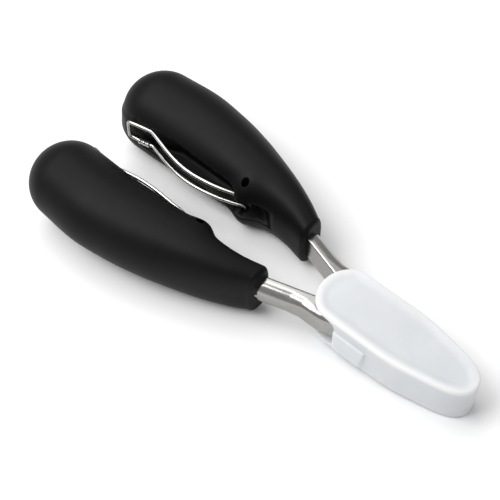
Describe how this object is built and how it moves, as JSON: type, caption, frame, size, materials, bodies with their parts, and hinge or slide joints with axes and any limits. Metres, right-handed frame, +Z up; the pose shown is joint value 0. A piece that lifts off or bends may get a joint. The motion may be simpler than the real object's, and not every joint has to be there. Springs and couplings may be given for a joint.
{
  "type": "toenail nippers",
  "caption": "Sprung toenail nippers with soft black grips, wire bow springs in the handles and a slip-on translucent jaw guard.",
  "frame": {"origin": "Below the middle of the tool's outline, on the surface that the grips rest on.", "axes": "+X across to the right handle, +Y back along the handles with the jaws at -Y, +Z up along the pivot screw."},
  "size_m": [0.0754, 0.1633, 0.027],
  "materials": {
    "steel": "satin",
    "screw_steel": "satin",
    "core_plastic": "matt",
    "grip_rubber": "soft matt",
    "spring_steel": "bright drawn",
    "sleeve_steel": "crimped",
    "guard_plastic": "milky translucent"
  },
  "bodies": {
    "left_handle": {"pivot_screw": "screw_steel", "lever_left": "steel", "grip_core_left": "core_plastic", "grip_skin_left": "grip_rubber", "spring_wire_long_left": "spring_steel", "spring_wire_short_left": "spring_steel", "spring_sleeve_left": "sleeve_steel"},
    "right_handle": {"lever_right": "steel", "grip_core_right": "core_plastic", "grip_skin_right": "grip_rubber", "spring_wire_long_right": "spring_steel", "spring_wire_short_right": "spring_steel", "spring_sleeve_right": "sleeve_steel"},
    "guard": {"jaw_guard": "guard_plastic"}
  },
  "joints": [
    {"name": "handle_pivot", "type": "hinge", "parent": "left_handle", "child": "right_handle", "pos_m": [0, -0.04025, 0.0135], "axis": [0, 0, 1], "range_deg": [0, 8.4], "stiffness_Nm_per_rad": 1, "deforming": ["spring_wire_long_right", "spring_wire_short_right", "spring_sleeve_right", "spring_wire_long_left", "spring_wire_short_left", "spring_sleeve_left"]},
    {"name": "guard_slide", "type": "slide", "parent": "left_handle", "child": "guard", "axis": [0, -1, 0], "range_m": [0, 0.055]}
  ]
}
